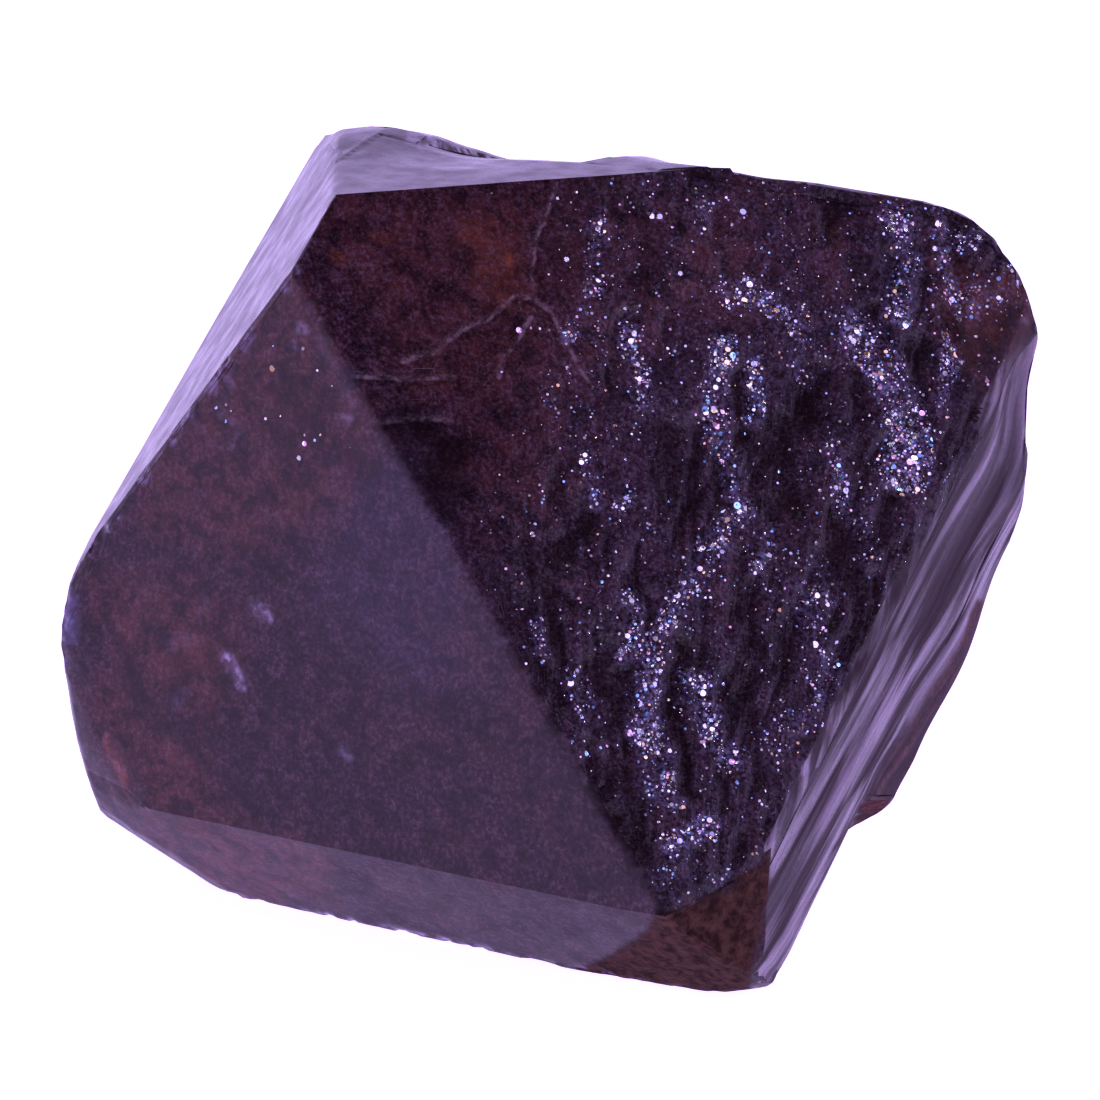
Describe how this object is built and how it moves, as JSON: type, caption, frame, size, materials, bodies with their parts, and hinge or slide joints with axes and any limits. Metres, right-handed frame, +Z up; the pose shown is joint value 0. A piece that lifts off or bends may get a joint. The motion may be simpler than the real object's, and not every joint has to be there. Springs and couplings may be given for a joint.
{
  "type": "zircon crystal",
  "caption": "Loose zircon crystal, a stubby square prism closed by blunt pyramids, dark red-brown, lying on a lower pyramid face.",
  "frame": {"origin": "under the middle of the crystal's box, on the surface that it lies on", "axes": "+Z up, +X along the crystal's a2 axis towards its right prism face, -Y towards its large front pyramid face; the fourfold c axis leans back by the pyramid's slope"},
  "size_m": [0.0194, 0.0154, 0.0185],
  "materials": {
    "zircon": "dark red-brown to plum, glassy faces, one face etched and glittering"
  },
  "bodies": {
    "root": {"crystal": "zircon"}
  },
  "joints": []
}
